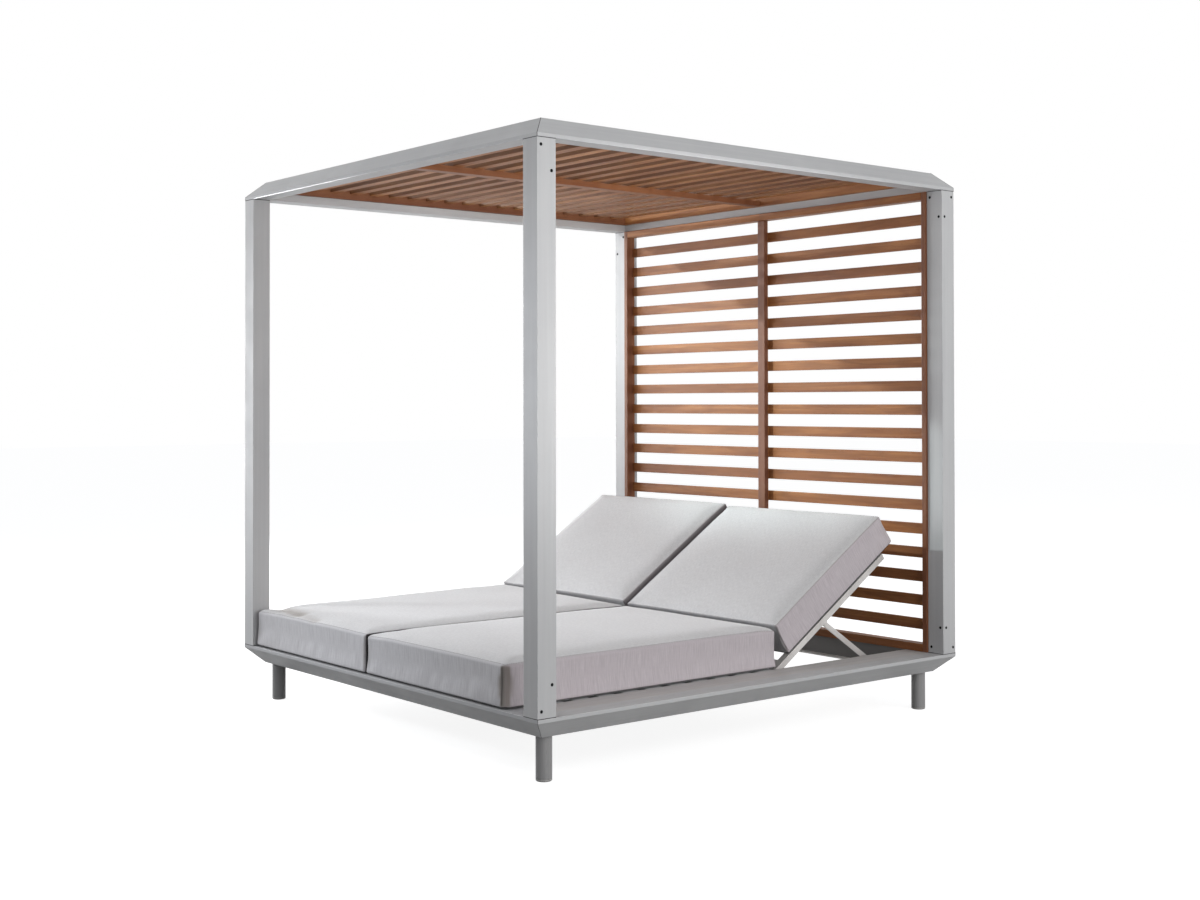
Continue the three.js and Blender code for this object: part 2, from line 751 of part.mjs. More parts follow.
// The reclining bed, which fills the base between the left rail and the shelf
function addBed(root) {
  const bed = new THREE.Group();
  bed.position.x = bedCentreX;
  root.add(bed);
  addCentreBeam(bed, 'foot', -railInnerY + seam, crossMemberFront - seam);
  addCentreBeam(bed, 'head', crossMemberRear + seam, railInnerY - seam);
  addCrossMember(bed);
  addRacks(bed);
  for (const [name, side] of [['left', -1], ['right', 1]]) {
    addSeatDeck(bed, name, side);
    piece(`hinge_rod_${name}`, hingeRod(side), hardwareGrey, bed);
    addBackrest(bed, name, side);
    addSeatCushion(bed, name, side);
  }
}

const daybed = new THREE.Group();
addRailFrame(daybed, 'base', railTop, -1);
addRailFrame(daybed, 'roof', roofUnderside, 1);
addPosts(daybed);
addSideShelf(daybed);
addLedgeBar(daybed);
addHeadboard(daybed);
addRoofPanel(daybed);
addBed(daybed);

export default daybed;
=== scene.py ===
# Looks of the outdoor daybed with canopy, in metres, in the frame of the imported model.

import math

import bpy
from mathutils import Matrix, Vector, noise

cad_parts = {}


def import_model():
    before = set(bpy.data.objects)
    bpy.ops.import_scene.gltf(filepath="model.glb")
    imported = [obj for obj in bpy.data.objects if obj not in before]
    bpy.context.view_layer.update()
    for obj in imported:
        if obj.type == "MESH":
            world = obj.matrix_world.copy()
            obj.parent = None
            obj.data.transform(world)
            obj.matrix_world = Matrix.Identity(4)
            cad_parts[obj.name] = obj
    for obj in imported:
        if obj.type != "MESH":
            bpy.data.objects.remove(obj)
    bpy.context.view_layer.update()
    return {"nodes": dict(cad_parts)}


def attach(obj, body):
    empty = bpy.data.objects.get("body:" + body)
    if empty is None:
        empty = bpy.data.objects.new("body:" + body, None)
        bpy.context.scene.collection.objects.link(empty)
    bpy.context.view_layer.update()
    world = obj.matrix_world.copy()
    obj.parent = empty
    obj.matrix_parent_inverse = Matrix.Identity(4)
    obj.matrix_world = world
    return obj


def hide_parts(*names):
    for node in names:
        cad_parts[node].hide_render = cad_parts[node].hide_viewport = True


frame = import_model()
nodes = frame["nodes"]
scene = bpy.context.scene

# Sizes repeated from the solids
HALF_WIDTH = 1.05
HALF_LENGTH = 1.088
CORNERS = [(sx, sy) for sx in (-1, 1) for sy in (-1, 1)]
POST = 0.078
BASE_TOP = 0.233
ROOF_BOTTOM = 2.154
LIP = 0.013
BEVEL_HEIGHT = 0.064
BEVEL_INSET = 0.066
HINGE = Vector((0.0, 0.232, 0.2208))
REST_TURN = math.radians(33)

# Rows of slats: the pitch, the middle of the gap before the first slat, and a plane between the
# slats and the middle member that carries them
SCREEN_PITCH = 0.10007
SCREEN_START = BASE_TOP + 0.1099 - SCREEN_PITCH / 2
SCREEN_PLANE_Y = 1.0335
ROOF_PITCH = 0.10072
ROOF_START = -0.929 - ROOF_PITCH / 2
ROOF_PLANE_Z = 2.2098


# Materials
INNER_SHADE_REACH = 0.0007  # how far past the inner face of a base rail its painted shade begins
BOARD_RATE = 0.9  # boards per metre along X, where a piece is no row of slats
MEMBER_NUMBER = 77.0  # tells the middle member from the slats that it carries
YARN_RATE = 5200.0  # radians per metre, a yarn each 1.2 mm


class Graph:
    """The node tree of a material or a world, with short calls for the nodes used here."""

    def __init__(self, block, out="ShaderNodeOutputMaterial"):
        self.block = block
        self.block.use_nodes = True
        self.tree = self.block.node_tree
        self.tree.nodes.clear()
        self.out = self.tree.nodes.new(out)

    def join(self, shader):
        self.tree.links.new(shader.outputs[0], self.out.inputs[0])

    def node(self, kind, inputs=None, **settings):
        made = self.tree.nodes.new(kind)
        for key, value in settings.items():
            setattr(made, key, value)
        for key, value in (inputs or {}).items():
            if hasattr(value, "links"):
                self.tree.links.new(value, made.inputs[key])
            else:
                made.inputs[key].default_value = value
        return made

    def math(self, operation, a, b=0.0, c=0.0):
        made = self.node("ShaderNodeMath", {0: a, 1: b, 2: c}, operation=operation)
        return made.outputs[0]

    def vector(self, operation, a, b):
        made = self.node("ShaderNodeVectorMath", {0: a, 1: b}, operation=operation)
        return made.outputs[0]

    def combine(self, x, y, z):
        return self.node("ShaderNodeCombineXYZ", {0: x, 1: y, 2: z}).outputs[0]

    def noise(self, vector, scale, detail=2.0, roughness=0.5, distortion=0.0):
        made = self.node("ShaderNodeTexNoise", {
            "Vector": vector,
            "Scale": scale,
            "Detail": detail,
            "Roughness": roughness,
            "Distortion": distortion,
        })
        return made.outputs["Fac"]

    def ramp(self, value, low, high, to_low=0.0, to_high=1.0):
        made = self.node("ShaderNodeMapRange", {
            "Value": value,
            "From Min": low,
            "From Max": high,
            "To Min": to_low,
            "To Max": to_high,
        })
        return made.outputs["Result"]

    def mix(self, factor, a, b, blend="MIX"):
        made = self.node("ShaderNodeMix", data_type="RGBA", blend_type=blend)
        for key, value in ((0, factor), (6, a), (7, b)):
            if hasattr(value, "links"):
                self.tree.links.new(value, made.inputs[key])
            else:
                made.inputs[key].default_value = value
        return made.outputs[2]

    def bump(self, height, strength, distance, normal=None):
        inputs = {"Height": height, "Strength": strength, "Distance": distance}
        if normal is not None:
            inputs["Normal"] = normal
        return self.node("ShaderNodeBump", inputs).outputs[0]

    def surface(self, inputs):
        self.join(self.node("ShaderNodeBsdfPrincipled", inputs))
        return self.block

    def place(self):
        return self.node("ShaderNodeTexCoord").outputs["Object"]

    def split(self, vector):
        return self.node("ShaderNodeSeparateXYZ", {0: vector}).outputs

    def seen_directly(self):
        """1 for a ray from the camera, also by way of a mirror or a pane, and 0 for the others."""
        path = self.node("ShaderNodeLightPath").outputs
        seen = self.math("MAXIMUM", path["Is Camera Ray"], path["Is Glossy Ray"])
        return self.math("MAXIMUM", seen, path["Is Transmission Ray"])


def material_graph(name):
    return Graph(bpy.data.materials.new(name))


def colour(red, green, blue):
    """A colour written in display values of 0 to 255, as scene-linear."""
    def linear(value):
        share = value / 255
        return share / 12.92 if share <= 0.04045 else ((share + 0.055) / 1.055) ** 2.4
    return (linear(red), linear(green), linear(blue), 1.0)


def powder_coat(name, light, dark, stretch=(1.0, 1.0, 1.0), rough=0.5, inner=False):
    """Satin powder coat: fine orange peel, faint clouds and streaks along the profile.

    inner paints shade on the faces that look into the base, as a dull, dark tone.
    """
    g = material_graph(name)
    place = g.place()
    clouds = g.noise(place, 2.2, 3.0)
    streaks = g.noise(g.vector("MULTIPLY", place, stretch), 60.0, 3.0, 0.6)
    grains = g.noise(place, 1500.0, 1.0)
    tone = g.math("ADD", g.math("MULTIPLY", clouds, 0.5), g.math("MULTIPLY", streaks, 0.5))
    base = g.mix(g.ramp(tone, 0.35, 0.65), dark, light)
    specks = g.math("MULTIPLY", g.ramp(grains, 0.55, 0.8), 0.22)
    base = g.mix(specks, base, colour(110, 108, 106))
    # Painted shade on the faces that look into the base
    if inner:
        past = [
            g.math("SUBTRACT", g.math("ABSOLUTE", value), half - POST + INNER_SHADE_REACH)
            for value, half in zip(g.split(place), (HALF_WIDTH, HALF_LENGTH))
        ]
        inner_shade_mask = g.math("LESS_THAN", g.math("MAXIMUM", *past), 0.0)
        base = g.mix(inner_shade_mask, base, colour(104, 101, 99))
    roughness = g.ramp(g.noise(place, 9.0, 2.0), 0.3, 0.7, rough - 0.05, rough + 0.07)
    peel = g.noise(place, 520.0, 2.0, 0.5)
    fine = g.bump(peel, 0.16, 0.0004)
    soft = g.bump(g.noise(place, 5.0, 1.0), 0.06, 0.004, fine)
    return g.surface({
        "Base Color": base,
        "Roughness": roughness,
        "Specular IOR Level": 0.3,
        "Normal": soft,
    })


def aluminium(name):
    """Pale drawn aluminium with fine lines and clouds of a duller tone."""
    g = material_graph(name)
    place = g.place()
    lines = g.noise(g.vector("MULTIPLY", place, (1.0, 0.06, 0.06)), 700.0, 3.0, 0.6)
    clouds = g.noise(place, 7.0, 3.0)
    base = g.mix(g.ramp(clouds, 0.3, 0.7), colour(178, 174, 171), colour(204, 201, 198))
    base = g.mix(g.math("MULTIPLY", g.ramp(lines, 0.5, 0.8), 0.25), base, colour(138, 135, 132))
    return g.surface({
        "Base Color": base,
        "Metallic": 0.35,
        "Roughness": g.ramp(lines, 0.2, 0.8, 0.34, 0.5),
        "Normal": g.bump(lines, 0.12, 0.0003),
    })


def teak(
    name, along, deep, step_axis=None, pitch=1.0, start=0.0, split_plane=None, flank_shade=None, red_brown_share=0.0
):
    """Oiled teak. Grain runs along one axis, and each slat of a row has its own tone and figure.

    deep is how far the darkening begins that differs from slat to slat.
    split_plane is an axis, a limit and a grain axis. What lies below the limit is the middle
    member, and its grain runs along that other axis.
    The argument after split_plane is painted shade on the faces that look along Y, between the
    slats.
    The last argument is how far the piece, or only its middle member, is darkened towards
    red-brown.
    """
    g = material_graph(name)
    place = g.place()
    x, y, z = g.split(place)
    axes = {"x": x, "y": y, "z": z}

    def grain_space(run):
        others = [axes[a] for a in "xyz" if a != run]
        return g.combine(axes[run], others[0], others[1])

    if step_axis is None:
        count = g.math("MULTIPLY", axes["x"], BOARD_RATE)
    else:
        count = g.math("DIVIDE", g.math("SUBTRACT", axes[step_axis], start), pitch)
    number = g.math("FLOOR", count)
    space = grain_space(along)
    if split_plane is not None:
        axis, limit, run = split_plane
        other = g.math("LESS_THAN", axes[axis], limit)
        change = g.math("SUBTRACT", MEMBER_NUMBER, number)
        number = g.math("MULTIPLY_ADD", other, change, number)
        mixed = g.node("ShaderNodeMix", {0: other}, data_type="VECTOR")
        g.tree.links.new(space, mixed.inputs[4])
        g.tree.links.new(grain_space(run), mixed.inputs[5])
        space = mixed.outputs[1]
    own = g.node("ShaderNodeTexWhiteNoise", {"W": number}, noise_dimensions="1D")
    tone = own.outputs["Value"]
    shift = g.vector("MULTIPLY", own.outputs["Color"], (9.0, 3.0, 3.0))
    space = g.vector("ADD", space, shift)

    def grain(length_scale, cross_scale, detail, roughness=0.5, distortion=0.0):
        scaled = g.vector("MULTIPLY", space, (length_scale, cross_scale, cross_scale))
        return g.noise(scaled, 1.0, detail, roughness, distortion)

    figure = grain(1.6, 26.0, 4.0, 0.55, 0.6)
    rings = g.math("SINE", g.math("MULTIPLY", grain(0.9, 9.0, 3.0, 0.5, 0.3), 46.0))
    streaks = grain(5.0, 330.0, 3.0, 0.6)
    pores = grain(55.0, 1300.0, 1.0)
    base = g.mix(g.ramp(figure, 0.34, 0.66), colour(138, 83, 43), colour(192, 131, 78))
    base = g.mix(g.ramp(rings, 0.1, 1.0, 0.0, 0.4), base, colour(122, 78, 44))
    base = g.mix(g.ramp(streaks, 0.5, 0.75, 0.0, 0.55), base, colour(108, 66, 37))
    base = g.mix(g.ramp(pores, 0.62, 0.72, 0.0, 0.5), base, colour(62, 37, 21))
    base = g.mix(g.ramp(tone, 0.0, 1.0, deep, deep + 0.45), base, colour(112, 66, 40))
    # The piece, or only its middle member, darker towards red-brown
    if red_brown_share:
        share = red_brown_share if split_plane is None else g.math("MULTIPLY", other, red_brown_share)
        base = g.mix(share, base, colour(100, 66, 56))
    # Painted shade on the faces that look along Y, between the slats
    if flank_shade is not None:
        turned = g.split(g.node("ShaderNodeNewGeometry").outputs["Normal"])
        side = g.ramp(g.math("ABSOLUTE", turned[1]), 0.6, 0.8)
        base = g.mix(g.math("MULTIPLY", side, flank_shade), base, colour(60, 40, 27))
    ridges = g.math("MULTIPLY", streaks, 0.7)
    height = g.math("SUBTRACT", ridges, g.ramp(pores, 0.6, 0.75, 0.0, 0.8))
    return g.surface({
        "Base Color": base,
        "Specular IOR Level": 0.16,
        "Roughness": g.ramp(streaks, 0.3, 0.7, 0.42, 0.58),
        "Normal": g.bump(height, 0.35, 0.0006),
    })


def cloth(name):
    """Woven outdoor cloth: pale on top, mauve on the long sides and slate on the ends.

    The ends' slate is painted cool light; folds, gaps and the bottom edge get painted shade.
    """
    g = material_graph(name)
    flat = g.node("ShaderNodeUVMap", uv_map="weave").outputs[0]
    side, fold_shade, shade, cool = [
        g.node("ShaderNodeAttribute", attribute_name=layer).outputs["Fac"]
        for layer in ("side", "fold_shade", "under", "cool")
    ]
    u, v, _ = g.split(flat)

    def slubs(long_scale, cross_scale, seed):
        """Noise drawn out along the warp, and along the weft."""
        u_long, v_long = [g.math("MULTIPLY", value, long_scale) for value in (u, v)]
        u_cross, v_cross = [g.math("MULTIPLY", value, cross_scale) for value in (u, v)]
        along = g.combine(u_cross, v_long, seed)
        across = g.combine(u_long, v_cross, seed + 4)
        return [g.noise(space, 1.0, 3.0, 0.62) for space in (along, across)]

    warp, weft = slubs(14.0, 300.0, 1.0)
    short_warp, short_weft = slubs(55.0, 260.0, 5.0)
    fine_warp, fine_weft = slubs(60.0, 900.0, 9.0)
    clouds = g.noise(g.combine(u, v, side), 5.0, 3.0)
    top = g.mix(g.ramp(short_warp, 0.3, 0.7), colour(197, 197, 197), colour(222, 222, 222))
    top = g.mix(g.ramp(short_weft, 0.35, 0.75, 0.0, 0.6), top, colour(196, 195, 196))
    mauve = g.mix(g.ramp(warp, 0.3, 0.7), colour(168, 159, 163), colour(196, 188, 191))
    mauve = g.mix(g.ramp(weft, 0.4, 0.8, 0.0, 0.4), mauve, colour(176, 168, 171))
    # Slate for the ends: a cooler copy of the boxing, painted for the cool light on them
    slate = g.mix(g.ramp(warp, 0.3, 0.7), colour(178, 176, 179), colour(209, 208, 210))
    slate = g.mix(g.ramp(weft, 0.4, 0.8, 0.0, 0.4), slate, colour(184, 182, 186))
    boxing = g.mix(cool, mauve, slate)
    base = g.mix(g.ramp(side, 0.2, 0.8), top, boxing)
    base = g.mix(g.ramp(clouds, 0.35, 0.7, 0.0, 0.14), base, colour(178, 175, 176))
    base = g.mix(g.ramp(fine_warp, 0.5, 0.8, 0.0, 0.3), base, colour(150, 147, 150))
    # Painted shade in folds, creases and valleys, then in gaps and under the bottom edge
    base = g.mix(g.ramp(fold_shade, 0.0, 0.45, 0.0, 0.75), base, colour(140, 130, 121))
    base = g.mix(g.ramp(fold_shade, 0.45, 1.0, 0.0, 0.85), base, colour(50, 45, 43))
    base = g.mix(g.math("MULTIPLY", shade, 0.96), base, colour(24, 23, 24))
    yarns = [g.math("SINE", g.math("MULTIPLY", value, YARN_RATE)) for value in (u, v)]
    weave = g.math("MULTIPLY", *yarns)
    height = g.math("ADD", g.math("MULTIPLY", weave, 0.25), g.math("ADD", warp, fine_weft))
    return g.surface({
        "Base Color": base,
        "Roughness": 0.92,
        "Sheen Weight": 0.25,
        "Sheen Roughness": 0.5,
        "Normal": g.bump(height, 0.4, 0.0005),
    })


def sewing_thread(name):
    """Grey polyester thread, twisted and a little soiled."""
    g = material_graph(name)
    twist = g.math("SINE", g.math("MULTIPLY", g.noise(g.place(), 700.0, 2.0), 40.0))
    tone = g.ramp(twist, -1.0, 1.0)
    return g.surface({
        "Base Color": g.mix(tone, colour(112, 107, 108), colour(146, 141, 142)),
        "Roughness": 0.8,
        "Normal": g.bump(twist, 0.3, 0.0002),
    })


def joint_shadow_paint(name):
    """Painted shadow line of a joint, mottled in tone."""
    g = material_graph(name)
    dust = g.noise(g.place(), 90.0, 3.0)
    return g.surface({
        "Base Color": g.mix(g.ramp(dust, 0.3, 0.7), colour(30, 28, 30), colour(58, 56, 58)),
        "Roughness": 0.7,
        "Normal": g.bump(dust, 0.2, 0.0004),
    })


def screw_steel(name):
    """Blackened screw steel, a little worn on the rim."""
    g = material_graph(name)
    wear = g.noise(g.place(), 900.0, 2.0)
    return g.surface({
        "Base Color": g.mix(g.ramp(wear, 0.45, 0.75), colour(9, 9, 10), colour(30, 30, 32)),
        "Specular IOR Level": 0.1,
        "Roughness": g.ramp(wear, 0.3, 0.7, 0.5, 0.7),
    })


LIGHT_GREY = colour(187, 187, 187)
DEEP_GREY = colour(177, 177, 178)
STREAKS_X = (0.02, 1.0, 1.0)
STREAKS_Y = (1.0, 0.02, 1.0)
STREAKS_Z = (1.0, 1.0, 0.02)
frame_x = powder_coat("frame_metal_x", LIGHT_GREY, DEEP_GREY, STREAKS_X)
frame_y = powder_coat("frame_metal_y", LIGHT_GREY, DEEP_GREY, STREAKS_Y)
frame_z = powder_coat("frame_metal_z", LIGHT_GREY, DEEP_GREY, STREAKS_Z)
# The base rails along X take a darker copy of the coat: painted shade near the floor
base_x_shaded = powder_coat("base_metal_x_shaded", DEEP_GREY, colour(166, 166, 168), STREAKS_X, inner=True)
base_y = powder_coat("base_metal_y", LIGHT_GREY, DEEP_GREY, STREAKS_Y, inner=True)
# The legs take a darker copy of the frame coat: painted shade under the base
leg_coat_shaded = powder_coat(
    "frame_metal_leg_shaded", colour(150, 149, 149), colour(136, 135, 135), (1.0, 1.0, 0.05)
)
shelf_coat = powder_coat(
    "frame_metal_shelf", colour(196, 193, 191), colour(176, 172, 170), (1.0, 0.012, 1.0), 0.55
)
glide_grey = powder_coat("glide_grey", colour(168, 166, 164), colour(156, 154, 152), rough=0.55)
# A pale coat for the painted highlight along the roof's lip
lip_highlight_paint = powder_coat("lip_highlight_paint", colour(216, 216, 219), colour(206, 206, 209), rough=0.4)
hardware = aluminium("hardware_metal")
joint_shadow = joint_shadow_paint("joint_shadow_line")
screw_dark = screw_steel("screw_steel")
cushion_cloth = cloth("cushion_cloth")
thread = sewing_thread("sewing_thread")

teak_x = teak("teak_along_x", "x", 0.2)
teak_y = teak("teak_along_y", "y", 0.5, red_brown_share=0.5)
teak_z = teak("teak_along_z", "z", 0.4, red_brown_share=0.45)
teak_screen = teak(
    "teak_screen", "x", 0.2, "z", SCREEN_PITCH, SCREEN_START, ("y", SCREEN_PLANE_Y, "z"), red_brown_share=0.6
)
teak_roof = teak(
    "teak_roof", "x", 0.0, "y", ROOF_PITCH, ROOF_START, ("z", ROOF_PLANE_Z, "y"), 0.6, red_brown_share=0.35
)

finish_of = {
    "side_shelf": shelf_coat,
    "headboard_slats": teak_screen,
    "roof_slats": teak_roof,
    "cross_member": frame_x,
    "ledge_bar": frame_y,
}
for side in ("foot", "head"):
    finish_of[f"base_rail_{side}"] = base_x_shaded
    finish_of[f"roof_rail_{side}"] = frame_x
    finish_of[f"centre_beam_{side}"] = frame_y
    finish_of[f"roof_end_rail_{side}"] = teak_x
for side in ("left", "right"):
    finish_of[f"base_rail_{side}"] = base_y
    finish_of[f"roof_rail_{side}"] = frame_y
    finish_of[f"seat_deck_{side}"] = frame_x
    finish_of[f"headboard_stile_{side}"] = teak_z
    finish_of[f"roof_bearer_{side}"] = teak_y
    for end in ("foot", "head"):
        finish_of[f"post_{end}_{side}"] = frame_z
        finish_of[f"leg_{end}_{side}"] = leg_coat_shaded
        finish_of[f"leg_plate_{end}_{side}"] = frame_x
        finish_of[f"glide_{end}_{side}"] = glide_grey
for level in ("bottom", "top"):
    finish_of[f"headboard_rail_{level}"] = teak_x

for name, obj in nodes.items():
    obj.data.materials.clear()
    obj.data.materials.append(finish_of.get(name, hardware))


# Edges of the rigid pieces: coplanar triangles joined, then a small round on every sharp edge
WOOD_ROUND = 0.0018
FRAME_ROUND = 0.0011
HARDWARE_ROUND = 0.0006
WELD_REACH = 0.00002
FLAT_ANGLE = math.radians(0.5)
SHARP_ANGLE = math.radians(38)


def round_edges(obj, width):
    weld = obj.modifiers.new("weld", "WELD")
    weld.merge_threshold = WELD_REACH
    flat = obj.modifiers.new("flat", "DECIMATE")
    flat.decimate_type = "DISSOLVE"
    flat.angle_limit = FLAT_ANGLE
    bevel = obj.modifiers.new("round", "BEVEL")
    bevel.width = width
    bevel.segments = 2
    bevel.limit_method = "ANGLE"
    bevel.angle_limit = SHARP_ANGLE


for name, obj in nodes.items():
    if "cushion" in name:
        continue
    if name.startswith(("headboard", "roof_slats", "roof_bearer", "roof_end")):
        round_edges(obj, WOOD_ROUND)
    elif name.startswith(("backrest_frame", "stay_", "rack", "hinge_rod", "glide")):
        round_edges(obj, HARDWARE_ROUND)
    else:
        round_edges(obj, FRAME_ROUND)


# Meshes made here
def new_piece(name, points, faces, material, smooth=True):
    mesh = bpy.data.meshes.new(name)
    mesh.from_pydata([tuple(p) for p in points], [], faces)
    mesh.materials.append(material)
    for polygon in mesh.polygons:
        polygon.use_smooth = smooth
    obj = bpy.data.objects.new(name, mesh)
    scene.collection.objects.link(obj)
    return obj


class Soup:
    """Points and faces gathered from several small forms into one piece."""

    def __init__(self):
        self.points = []
        self.faces = []

    def add(self, points, faces):
        first = len(self.points)
        self.points.extend(points)
        self.faces.extend([tuple(first + i for i in face) for face in faces])

    def add_rings(self, points, sides):
        """Rings of points, joined one to the next. The first and last ring are capped."""
        faces = []
        last = len(points) - sides
        for row in range(0, last, sides):
            for k in range(sides):
                nxt = (k + 1) % sides
                faces.append((row + k, row + nxt, row + sides + nxt, row + sides + k))
        faces.append(tuple(range(sides))[::-1])
        faces.append(tuple(last + k for k in range(sides)))
        self.add(points, faces)

    def tube(self, path, radius, sides=8):
        points = []
        path = [Vector(p) for p in path]
        for i, point in enumerate(path):
            before = path[max(i - 1, 0)]
            after = path[min(i + 1, len(path) - 1)]
            along = (after - before).normalized()
            across = along.cross(TUBE_ASKEW).normalized()
            up = along.cross(across)
            for k in range(sides):
                angle = 2 * math.pi * k / sides
                points.append(point + radius * (math.cos(angle) * across + math.sin(angle) * up))
        self.add_rings(points, sides)

    def lathe(self, centre, axis, profile, sides=20):
        """Rings of (radius, height) round an axis from centre."""
        axis = Vector(axis).normalized()
        across = axis.orthogonal().normalized()
        up = axis.cross(across)
        points = []
        for radius, height in profile:
            for k in range(sides):
                angle = 2 * math.pi * k / sides
                ray = math.cos(angle) * across + math.sin(angle) * up
                points.append(Vector(centre) + axis * height + radius * ray)
        self.add_rings(points, sides)


TUBE_ASKEW = Vector((0.3, 0.7, 0.65))  # along none of the tubes
SCREW_CLOSE = 0.026
SCREW_AWAY = 0.110
SCREW_PROFILE = [
    (0.0058, -0.0006),
    (0.0058, 0.0004),
    (0.0052, 0.0009),
    (0.0031, 0.0011),
    (0.0026, 0.0007),
    (0.0024, 0.0003),
    (0.0007, 0.0002),
]


def post_screws():
    """Two screws near each end of each post, on its side face and on the one that looks inwards."""
    soup = Soup()
    near_x = HALF_WIDTH - 0.016
    far_x = HALF_WIDTH - 0.062
    near_y = HALF_LENGTH - 0.016
    far_y = HALF_LENGTH - 0.060
    inner_y = HALF_LENGTH - POST
    for sx, sy in CORNERS:
        for end, sign in ((BASE_TOP, 1), (ROOF_BOTTOM, -1)):
            close = end + sign * SCREW_CLOSE
            away = end + sign * SCREW_AWAY
            face_x = sx * HALF_WIDTH
            soup.lathe((face_x, sy * near_y, close), (sx, 0, 0), SCREW_PROFILE)
            soup.lathe((face_x, sy * far_y, away), (sx, 0, 0), SCREW_PROFILE)
            soup.lathe((sx * far_x, sy * inner_y, close), (0, -sy, 0), SCREW_PROFILE)
            soup.lathe((sx * near_x, sy * inner_y, away), (0, -sy, 0), SCREW_PROFILE)
    return new_piece("post_screws", soup.points, soup.faces, screw_dark)


END_LINE_TALL = 0.0026
END_LINE_DEEP = 0.003
END_LINE_PROUD = 0.0002


def post_end_lines():
    """The painted shadow line at both ends of each post, as a thin dark square band in the joint.
    """
    soup = Soup()
    outer = POST / 2 + END_LINE_PROUD
    inner = outer - END_LINE_DEEP
    faces = []
    for row in range(4):
        nxt_row = (row + 1) % 4
        for k in range(4):
            nxt = (k + 1) % 4
            faces.append((row * 4 + k, row * 4 + nxt, nxt_row * 4 + nxt, nxt_row * 4 + k))
    for sx, sy in CORNERS:
        x = sx * (HALF_WIDTH - POST / 2)
        y = sy * (HALF_LENGTH - POST / 2)
        for low in (BASE_TOP - END_LINE_PROUD, ROOF_BOTTOM + END_LINE_PROUD - END_LINE_TALL):
            high = low + END_LINE_TALL
            ring = [
                Vector((x + dx * reach, y + dy * reach, level))
                for reach, level in ((outer, low), (outer, high), (inner, high), (inner, low))
                for dx, dy in ((-1, -1), (1, -1), (1, 1), (-1, 1))
            ]
            soup.add(ring, faces)
    return new_piece("post_end_lines", soup.points, soup.faces, joint_shadow, smooth=False)


def corner_lines(name, level, heading, radius):
    """The painted shadow line of the mitre down each outer corner of a rail frame."""
    soup = Soup()
    deep = level + heading * (LIP + BEVEL_HEIGHT - radius * 0.5)
    stops = (
        (0.0, level + heading * 0.001, 1),
        (0.0, level + heading * LIP, 1),
        (BEVEL_INSET, deep, 1),
        (POST, deep, 0),
    )
    for sx, sy in CORNERS:
        pull = Vector((-sx, -sy, 0)).normalized() * radius * 0.6
        path = [
            Vector((sx * (HALF_WIDTH - inset), sy * (HALF_LENGTH - inset), z)) + pull * share
            for inset, z, share in stops
        ]
        soup.tube(path, radius)
    return new_piece(name, soup.points, soup.faces, joint_shadow)


def lip_highlight_lines():
    """A pale tube along the lower edge of the roof's lip, between the posts: a painted highlight on
    that edge.
    """
    soup = Soup()
    radius = 0.0013
    span_x = HALF_WIDTH - POST - 0.001
    span_y = HALF_LENGTH - POST - 0.001
    out_x = HALF_WIDTH - radius * 0.6
    out_y = HALF_LENGTH - radius * 0.6
    level = ROOF_BOTTOM + radius * 0.6
    for sign in (-1, 1):
        soup.tube([(-span_x, sign * out_y, level), (span_x, sign * out_y, level)], radius)
        soup.tube([(sign * out_x, -span_y, level), (sign * out_x, span_y, level)], radius)
    return new_piece("roof_lip_lines", soup.points, soup.faces, lip_highlight_paint)


for piece_made in (
    post_screws(),
    post_end_lines(),
    lip_highlight_lines(),
    corner_lines("roof_corner_lines", ROOF_BOTTOM, 1, 0.0011),
    corner_lines("base_corner_lines", BASE_TOP, -1, 0.0006),
):
    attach(piece_made, "frame")


# Cushions
ARC_STEPS = 3
CELLS = (0.024, 0.024, 0.019)
DRAW_IN = 0.003
STITCH_RADIUS = 0.0007
STITCH_PITCH = 0.009
HOLLOW_DEPTH = 0.0022
PUCKER_DEPTH = 0.0011
PUCKER_REACH = 0.030
FULL_FOLD = 0.010
DIAGONAL = 0.7071
TOP_SPARE = 0.004
UNDERCUT_LEAN = math.radians(30)
CLOTH_FRAMES = 20
CLOTH_REACH = 0.006
HELD_BELOW = 0.55
CLOTH = {
    "quality": 6,
    "mass": 0.35,
    "tension_stiffness": 30,
    "compression_stiffness": 30,
    "shear_stiffness": 12,
    "bending_stiffness": 1.2,
    "vertex_group_mass": "held",
    "pin_stiffness": 1.0,
    "use_pressure": True,
    "uniform_pressure_force": 4.0,
    "shrink_min": -0.006,
}

# The axis along each wall, and how far the weave is moved there
WALL_WEAVE = {"x": (1, 3), "y": (0, 6)}


def edge_lines(half, radii, cell):
    """Places of the grid lines along one axis, close together over the rounded edges."""
    low, high = radii[0] - half, half - radii[1]
    count = max(2, round((high - low) / cell))
    inner = [low + (high - low) * i / count for i in range(count + 1)]
    steps = [math.tan(math.radians(45) * k / ARC_STEPS) for k in range(1, ARC_STEPS + 1)]
    before = [low - radii[0] * step for step in reversed(steps)]
    return before + inner + [high + radii[1] * step for step in steps]


def arc_length(value, half, radii):
    radius = radii[0] if value < 0 else radii[1]
    core = half - radius
    if abs(value) <= core:
        return value
    return math.copysign(core + radius * math.atan((abs(value) - core) / radius), value)


def smooth_step(value):
    value = min(1.0, max(0.0, value))
    return value * value * (3 - 2 * value)


